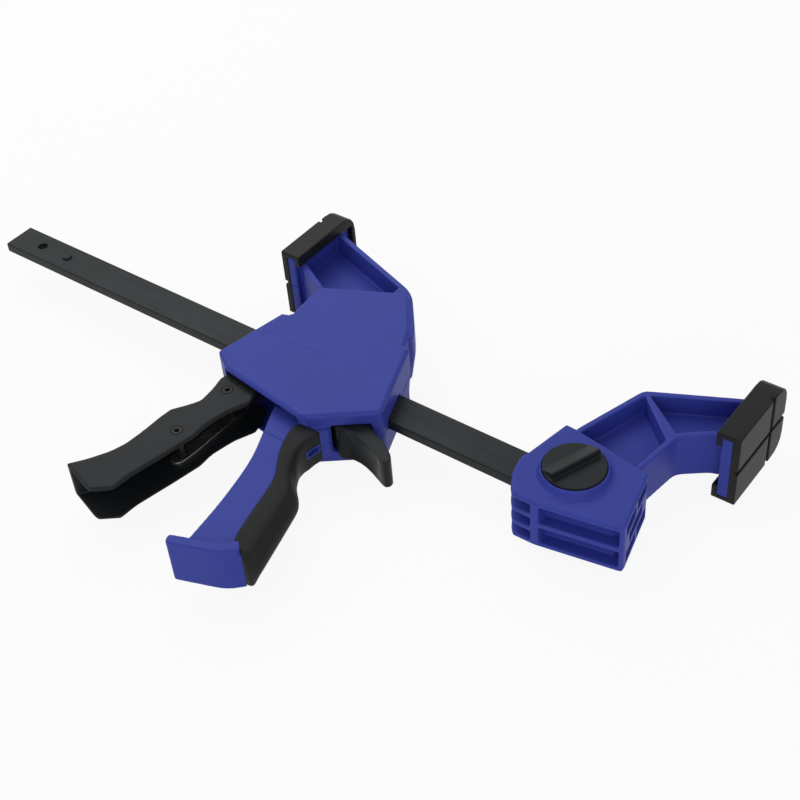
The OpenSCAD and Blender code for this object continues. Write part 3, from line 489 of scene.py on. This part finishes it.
# The solid is cut off past its root, and the hook laid over the cut. The even skin makes them one.
def joinHook(piece):
    build = bmesh.new()
    build.from_mesh(piece.data)
    bmesh.ops.bisect_plane(build, geom=build.verts[:] + build.edges[:] + build.faces[:],
                           dist=triggerLook["cutNear"] * mm, plane_no=(1, 0, 0), clear_outer=True,
                           plane_co=fromHousing((triggerLook["rootEnd"], 0, 0)))
    bmesh.ops.holes_fill(build, edges=[edge for edge in build.edges if edge.is_boundary])
    skinRings(build, [hookRing(build, k / triggerLook["levels"]) for k in range(triggerLook["levels"] + 1)])
    build.to_mesh(piece.data)
    build.free()


# A rolled piece gets a fine even skin that is relaxed, so that its edges and corners roll over. It may
# be joined to more before that, and shaped after it. At the end only a share of its faces is kept.
rolledLooks = {
    "fixed_jaw": {"voxel": 0.45 * mm, "passes": 5, "keep": 0.35},
    "fixed_pad": {"voxel": 0.38 * mm, "passes": 6, "keep": 0.35},
    "moving_pad": {"voxel": 0.38 * mm, "passes": 6, "keep": 0.35},
    "housing_top": {"voxel": 0.48 * mm, "passes": 5, "keep": 0.35, "shape": shapeHousing, "side": 1},
    "housing_bottom": {"voxel": 0.48 * mm, "passes": 5, "keep": 0.35, "shape": shapeHousing, "side": -1},
    "jaw_knob": {"voxel": 0.28 * mm, "passes": 6, "keep": 0.5},
    "squeeze_lever": {"voxel": 0.4 * mm, "passes": 7, "keep": 0.6},
    "release_trigger": {"voxel": 0.34 * mm, "passes": 8, "keep": 0.6, "join": joinHook}}
relaxShare = 0.5  # how far each pass moves a corner towards its neighbours


def rolledPiece(node, look):
    piece = linkBuild(node + "_form", weldedBuild(node))
    if "join" in look:
        look["join"](piece)
    skin = piece.modifiers.new("evenSkin", "REMESH")
    skin.mode = "VOXEL"
    skin.voxel_size = look["voxel"]
    relax = piece.modifiers.new("relax", "SMOOTH")
    relax.factor = relaxShare
    relax.iterations = look["passes"]
    bakeModifiers(piece)
    if "shape" in look:
        for vert in piece.data.vertices:
            vert.co = fromHousing(look["shape"](*toHousing(vert.co), look["side"]))
    fewer = piece.modifiers.new("fewerFaces", "DECIMATE")
    fewer.ratio = look["keep"]
    bakeModifiers(piece)
    piece.data.shade_smooth()
    dress(piece, node)


for node, look in rolledLooks.items():
    rolledPiece(node, look)
print("rolled pieces made:", len(rolledLooks))

loftGrip("handle_grip_top", 1)
loftGrip("handle_grip_bottom", -1)
lineSlot()
print("grips lofted and slot lined")


# Node trees for what is wound or repeated. Each takes its sizes from named inputs.
def newTree(name, numbers):
    tree = bpy.data.node_groups.new(name, "GeometryNodeTree")
    tree.interface.new_socket("Geometry", in_out="INPUT", socket_type="NodeSocketGeometry")
    for title in numbers:
        tree.interface.new_socket(title, in_out="INPUT", socket_type="NodeSocketFloat")
    tree.interface.new_socket("Finish", in_out="INPUT", socket_type="NodeSocketMaterial")
    tree.interface.new_socket("Geometry", in_out="OUTPUT", socket_type="NodeSocketGeometry")
    return tree, tree.nodes.new("NodeGroupInput"), tree.nodes.new("NodeGroupOutput")


def closeTree(tree, source, given, result):
    real = tree.nodes.new("GeometryNodeRealizeInstances")
    paint = tree.nodes.new("GeometryNodeSetMaterial")
    tree.links.new(source, real.inputs[0])
    tree.links.new(real.outputs[0], paint.inputs["Geometry"])
    tree.links.new(given.outputs["Finish"], paint.inputs["Material"])
    tree.links.new(paint.outputs[0], result.inputs[0])


def calculate(tree, operation, first, second):
    node = tree.nodes.new("ShaderNodeMath")
    node.operation = operation
    for socket, value in zip(node.inputs, (first, second)):
        if isinstance(value, (int, float)):
            socket.default_value = value
        else:
            tree.links.new(value, socket)
    return node.outputs[0]


# Geometry moved along Z
def raised(tree, geometry, height):
    offset = tree.nodes.new("ShaderNodeCombineXYZ")
    tree.links.new(height, offset.inputs["Z"])
    move = tree.nodes.new("GeometryNodeTransform")
    tree.links.new(geometry, move.inputs["Geometry"])
    tree.links.new(offset.outputs[0], move.inputs["Translation"])
    return move.outputs[0]


# One copy of the geometry on each of the points that the tree is given
def placedOnPoints(tree, given, geometry):
    scatter = tree.nodes.new("GeometryNodeInstanceOnPoints")
    tree.links.new(given.outputs["Geometry"], scatter.inputs["Points"])
    tree.links.new(geometry, scatter.inputs["Instance"])
    return scatter.outputs[0]


def runTree(name, tree, mesh, sizes, finish):
    piece = linkObject(name, mesh)
    made = piece.modifiers.new("build", "NODES")
    made.node_group = tree
    values = {**sizes, "Finish": finish}
    for item in tree.interface.items_tree:
        if item.item_type == "SOCKET" and item.in_out == "INPUT" and item.name in values:
            made[item.identifier] = values[item.name]
    return bakeModifiers(piece)


# Springs: a spiral whose first and last turns lie closed, so that the ends stand flat. Wire is the
# wire's radius in millimetres, and keep is the share of its length that a squeezed spring has.
coilLook = {"stepsPerTurn": 40, "wireSides": 10, "closedTurns": 2}
springLooks = {
    "drive_spring": {"wire": 0.8, "turns": 5, "along": "x", "joint": "drive_push", "keep": 0.834},
    "brake_spring": {"wire": 0.8, "turns": 3, "along": "x", "joint": "release_press", "keep": 0.63},
    "pin_spring": {"wire": 0.4, "turns": 5, "along": "z", "joint": "pin_lift", "keep": 0.49}}


def makeSpringTree():
    tree, given, result = newTree("springWinding", ["Length", "Middle Radius", "Wire Radius", "Active Turns"])
    turns = given.outputs["Active Turns"]
    wire = calculate(tree, "MULTIPLY", given.outputs["Wire Radius"], 2)
    closed = calculate(tree, "MULTIPLY", wire, coilLook["closedTurns"] + 1)
    pitch = calculate(tree, "DIVIDE", calculate(tree, "SUBTRACT", given.outputs["Length"], closed), turns)
    allTurns = calculate(tree, "ADD", turns, coilLook["closedTurns"])
    spiral = addNode(tree, "GeometryNodeCurveSpiral", Resolution=coilLook["stepsPerTurn"], Height=0.0)
    tree.links.new(allTurns, spiral.inputs["Rotations"])
    tree.links.new(given.outputs["Middle Radius"], spiral.inputs["Start Radius"])
    tree.links.new(given.outputs["Middle Radius"], spiral.inputs["End Radius"])

    # the height climbs by one wire in each closed turn, and by the pitch in the turns between
    along = tree.nodes.new("GeometryNodeSplineParameter")
    turn = calculate(tree, "MULTIPLY", along.outputs["Factor"], allTurns)
    first = calculate(tree, "MINIMUM", turn, 1)
    inner = calculate(tree, "SUBTRACT", turn, 1)
    middle = calculate(tree, "MINIMUM", calculate(tree, "MAXIMUM", inner, 0), turns)
    last = calculate(tree, "MAXIMUM", calculate(tree, "SUBTRACT", inner, turns), 0)
    ends = calculate(tree, "MULTIPLY", calculate(tree, "ADD", first, last), wire)
    rise = calculate(tree, "ADD", ends, calculate(tree, "MULTIPLY", middle, pitch))
    offset = tree.nodes.new("ShaderNodeCombineXYZ")
    tree.links.new(calculate(tree, "ADD", rise, given.outputs["Wire Radius"]), offset.inputs["Z"])
    lift = tree.nodes.new("GeometryNodeSetPosition")
    tree.links.new(spiral.outputs[0], lift.inputs["Geometry"])
    tree.links.new(offset.outputs[0], lift.inputs["Offset"])

    hoop = addNode(tree, "GeometryNodeCurvePrimitiveCircle", Resolution=coilLook["wireSides"])
    tree.links.new(given.outputs["Wire Radius"], hoop.inputs["Radius"])
    tube = addNode(tree, "GeometryNodeCurveToMesh", **{"Fill Caps": True})
    tree.links.new(lift.outputs[0], tube.inputs["Curve"])
    tree.links.new(hoop.outputs[0], tube.inputs["Profile Curve"])
    closeTree(tree, tube.outputs[0], given, result)
    return tree


def windSpring(node, look, tree):
    low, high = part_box(node)
    centre = (low + high) / 2
    wire = look["wire"] * mm
    if look["along"] == "x":
        axis, anchor, length = (1, 0, 0), (high.x, centre.y, centre.z), high.x - low.x
        place = Matrix.Translation((low.x, centre.y, centre.z)) @ Matrix.Rotation(math.pi / 2, 4, "Y")
    else:
        axis, anchor, length = (0, 0, 1), (centre.x, centre.y, high.z), high.z - low.z
        place = Matrix.Translation((centre.x, centre.y, low.z))
    piece = runTree(node + "_coil", tree, bpy.data.meshes.new(node + "_coil"), {
        "Length": length, "Middle Radius": (high.y - low.y) / 2 - wire, "Wire Radius": wire,
        "Active Turns": float(look["turns"])}, finishes[slotOf[node]])
    piece.data.transform(place)
    piece.data.shade_smooth()
    dress(piece, node)
    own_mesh(piece)


springTree = makeSpringTree()
for node, look in springLooks.items():
    windSpring(node, look, springTree)
print("springs wound:", len(springLooks))


def pointMesh(name, places):
    mesh = bpy.data.meshes.new(name)
    mesh.from_pydata(places, [], [])
    return mesh


# Middle in x and y, bottom and top of each separate solid of a node
def solidMiddles(node):
    build = weldedBuild(node)
    left = set(build.verts)
    middles = []
    while left:
        reach = [left.pop()]
        spots = []
        while reach:
            vert = reach.pop()
            spots.append(vert.co.copy())
            for edge in vert.link_edges:
                other = edge.other_vert(vert)
                if other in left:
                    left.remove(other)
                    reach.append(other)
        low = [min(spot[i] for spot in spots) for i in range(3)]
        high = [max(spot[i] for spot in spots) for i in range(3)]
        middles.append(((low[0] + high[0]) / 2, (low[1] + high[1]) / 2, low[2], high[2]))
    build.free()
    return sorted(middles)


# Rivets: hollow, with a flat head on each side of the lever. Points give their places.
rivetLook = {"Hole Radius": 1.15 * mm, "Shank Radius": 1.8 * mm, "Head Radius": 3.0 * mm,
             "Head Height": 0.8 * mm}
rivetMesh = {"sides": 40, "edgeSteps": 1, "edgeShare": 0.45, "sharpFrom": 50}


# A tube from the rivet's hole out to a radius, with its edges cut off
def rivetRing(tree, given, outer, height):
    inner = given.outputs["Hole Radius"]
    circle = addNode(tree, "GeometryNodeCurvePrimitiveCircle", Resolution=rivetMesh["sides"])
    middle = calculate(tree, "MULTIPLY", calculate(tree, "ADD", outer, inner), 0.5)
    tree.links.new(middle, circle.inputs["Radius"])
    section = tree.nodes.new("GeometryNodeCurvePrimitiveQuadrilateral")
    tree.links.new(calculate(tree, "SUBTRACT", outer, inner), section.inputs["Width"])
    tree.links.new(height, section.inputs["Height"])
    broken = tree.nodes.new("GeometryNodeFilletCurve")
    broken.mode = "POLY"  # the count can only be found in this mode
    broken.inputs["Count"].default_value = rivetMesh["edgeSteps"]
    edge = calculate(tree, "MULTIPLY", given.outputs["Head Height"], rivetMesh["edgeShare"])
    tree.links.new(section.outputs[0], broken.inputs["Curve"])
    tree.links.new(edge, broken.inputs["Radius"])
    band = tree.nodes.new("GeometryNodeCurveToMesh")
    tree.links.new(circle.outputs[0], band.inputs["Curve"])
    tree.links.new(broken.outputs[0], band.inputs["Profile Curve"])
    return band.outputs[0]


def makeRivetTree():
    tree, given, result = newTree("hollowRivets", ["Length", "Hole Radius", "Shank Radius", "Head Radius",
                                                   "Head Height"])
    length, height = given.outputs["Length"], given.outputs["Head Height"]
    lift = calculate(tree, "MULTIPLY", calculate(tree, "SUBTRACT", length, height), 0.5)
    shank = rivetRing(tree, given, given.outputs["Shank Radius"], length)
    head = rivetRing(tree, given, given.outputs["Head Radius"], height)
    join = tree.nodes.new("GeometryNodeJoinGeometry")
    tree.links.new(shank, join.inputs[0])
    tree.links.new(raised(tree, head, lift), join.inputs[0])
    tree.links.new(raised(tree, head, calculate(tree, "MULTIPLY", lift, -1)), join.inputs[0])
    closeTree(tree, placedOnPoints(tree, given, join.outputs[0]), given, result)
    return tree


def setRivets():
    spots = solidMiddles("lever_rivets")
    places = pointMesh("rivetPlaces", [(x, y, 0) for x, y, low, high in spots])
    sizes = {**rivetLook, "Length": spots[0][3] - spots[0][2]}
    rivets = runTree("lever_rivets_hollow", makeRivetTree(), places, sizes, finishes["dark_screws"])
    shadeSmooth(rivets, rivetMesh["sharpFrom"])
    dress(rivets, "lever_rivets")
    return len(spots)


print("rivets set:", setRivets())


# Housing screws: a domed head with a six-sided socket, on a shank that enters the shell above
screwLook = {"Shank Radius": 1.5 * mm, "Head Radius": 2.9 * mm, "Head Height": 2.2 * mm,
             "Socket Radius": 1.35 * mm}
screwMesh = {"headSides": 36, "socketSides": 6, "shankSides": 24,
             "dome": 0.3 * mm, "domeSteps": 3, "domeFrom": 50, "sharpFrom": 40}


def upright(tree, sides, radius, depth):
    column = addNode(tree, "GeometryNodeMeshCylinder", Vertices=sides)
    tree.links.new(radius, column.inputs["Radius"])
    tree.links.new(depth, column.inputs["Depth"])
    return column.outputs["Mesh"]


# The head's middle is on the point, the socket comes half way up into it, and the shank stands on it
def makeScrewTree():
    tree, given, result = newTree("housingScrews", ["Length", "Shank Radius", "Head Radius", "Head Height",
                                                    "Socket Radius"])
    length, height = given.outputs["Length"], given.outputs["Head Height"]
    head = upright(tree, screwMesh["headSides"], given.outputs["Head Radius"], height)
    socket = upright(tree, screwMesh["socketSides"], given.outputs["Socket Radius"], height)
    shank = upright(tree, screwMesh["shankSides"], given.outputs["Shank Radius"], length)
    carve = tree.nodes.new("GeometryNodeMeshBoolean")
    carve.operation = "DIFFERENCE"
    tree.links.new(head, carve.inputs["Mesh 1"])
    tree.links.new(raised(tree, socket, calculate(tree, "MULTIPLY", height, -0.5)), carve.inputs["Mesh 2"])
    stand = calculate(tree, "MULTIPLY", calculate(tree, "ADD", length, height), 0.5)
    join = tree.nodes.new("GeometryNodeJoinGeometry")
    tree.links.new(carve.outputs[0], join.inputs[0])
    tree.links.new(raised(tree, shank, stand), join.inputs[0])
    closeTree(tree, placedOnPoints(tree, given, join.outputs[0]), given, result)
    return tree


def setScrews():
    tree = makeScrewTree()
    spots = solidMiddles("housing_screws")
    height = screwLook["Head Height"]
    build = bmesh.new()
    for length in sorted({round((high - low) / mm, 1) for x, y, low, high in spots}):
        same = [(x, y, low + height / 2) for x, y, low, high in spots
                if round((high - low) / mm, 1) == length]
        screws = runTree("screwSet", tree, pointMesh("screwPlaces", same),
                         {**screwLook, "Length": length * mm - height}, finishes["dark_screws"])
        build.from_mesh(screws.data)
        bpy.data.objects.remove(screws)
    piece = linkBuild("housing_screws_set", build)
    dome = piece.modifiers.new("domedHead", "BEVEL")
    dome.width = screwMesh["dome"]
    dome.segments = screwMesh["domeSteps"]
    dome.limit_method = "ANGLE"
    dome.angle_limit = math.radians(screwMesh["domeFrom"])
    bakeModifiers(piece)
    shadeSmooth(piece, screwMesh["sharpFrom"])
    dress(piece, "housing_screws")
    return len(spots)


print("screws set:", setScrews())


# Floor and sky. What the camera, a gloss or a clear thing sees of them is pale, while the object gets
# only the sky's plain light, and the floor keeps some of its shadow.
stageLook = {"gap": 0.1 * mm, "size": 6.0, "floor": 0.86, "floorRoughness": 0.9, "floorSpecular": 0.1,
             "glow": 0.91, "sky": 0.42, "backdrop": 1.0}
white = (1, 1, 1, 1)


def seenDirectly(tree, share):
    path = tree.nodes.new("ShaderNodeLightPath")
    seen = calculate(tree, "MAXIMUM", path.outputs["Is Camera Ray"], path.outputs["Is Glossy Ray"])
    seen = calculate(tree, "MAXIMUM", seen, path.outputs["Is Transmission Ray"])
    return calculate(tree, "MULTIPLY", seen, share)


def mixShaders(tree, share, first, second, output):
    mix = tree.nodes.new("ShaderNodeMixShader")
    tree.links.new(share, mix.inputs[0])
    tree.links.new(first.outputs[0], mix.inputs[1])
    tree.links.new(second.outputs[0], mix.inputs[2])
    tree.links.new(mix.outputs[0], tree.nodes[output].inputs["Surface"])


def makeFloor(look):
    reach = look["size"] / 2
    height = cadBounds[0].z - look["gap"]
    mesh = bpy.data.meshes.new("floor")
    mesh.from_pydata([(-reach, -reach, height), (reach, -reach, height), (reach, reach, height),
                      (-reach, reach, height)], [], [(0, 1, 2, 3)])
    material = bpy.data.materials.new("paleFloor")
    material.use_nodes = True
    tree = material.node_tree
    shader = tree.nodes["Principled BSDF"]
    shader.inputs["Base Color"].default_value = (look["floor"], look["floor"], look["floor"], 1)
    shader.inputs["Roughness"].default_value = look["floorRoughness"]
    shader.inputs["Specular IOR Level"].default_value = look["floorSpecular"]
    glow = addNode(tree, "ShaderNodeEmission", Color=white, Strength=look["backdrop"])
    mixShaders(tree, seenDirectly(tree, look["glow"]), shader, glow, "Material Output")
    mesh.materials.append(material)
    linkObject("floor", mesh)


def makeSky(look):
    world = bpy.data.worlds.new("softSky")
    bpy.context.scene.world = world
    world.use_nodes = True
    tree = world.node_tree
    sky = tree.nodes["Background"]
    sky.inputs["Color"].default_value = white
    sky.inputs["Strength"].default_value = look["sky"]
    backdrop = addNode(tree, "ShaderNodeBackground", Color=white, Strength=look["backdrop"])
    mixShaders(tree, seenDirectly(tree, 1.0), sky, backdrop, "World Output")


lampLooks = {
    "topLamp": {"at": (-0.25, 0.32, 0.75), "to": (0.15, 0, 0), "size": 0.8, "power": 3.5},
    "leftLamp": {"at": (-0.7, -0.4, 0.8), "to": (0.2, 0, 0), "size": 0.7, "power": 1.8},
    "rightLamp": {"at": (0.95, -0.8, 0.42), "to": (0.28, 0, 0), "size": 0.7, "power": 3.0}}


def makeLamp(name, look):
    data = bpy.data.lights.new(name, "AREA")
    data.size = look["size"]
    data.energy = look["power"]
    lamp = linkObject(name, data)
    lamp.location = look["at"]
    lamp.rotation_euler = (Vector(look["at"]) - Vector(look["to"])).to_track_quat("Z", "Y").to_euler()


# The camera stands where the photograph was taken from, fitted on the bar and the jaws
cameraLook = {"eye": (0.6347, -0.4304, 0.5217), "target": (0.2638, 0.00866, 0.0),
              "roll": -5.14, "focalPixels": 1477.5, "imagePixels": 800, "sensor": 36}


def makeCamera(look):
    data = bpy.data.cameras.new("camera")
    data.sensor_width = look["sensor"]
    data.lens = look["sensor"] * look["focalPixels"] / look["imagePixels"]
    camera = linkObject("camera", data)
    camera.location = look["eye"]
    back = Vector(look["eye"]) - Vector(look["target"])
    turn = back.to_track_quat("Z", "Y").to_matrix().to_4x4()
    camera.rotation_euler = (turn @ Matrix.Rotation(math.radians(look["roll"]), 4, "Z")).to_euler()
    bpy.context.scene.camera = camera


makeFloor(stageLook)
makeSky(stageLook)
for name, look in lampLooks.items():
    makeLamp(name, look)
makeCamera(cameraLook)
bpy.context.scene.view_settings.view_transform = "Standard"
print("stage, lamps and camera made")
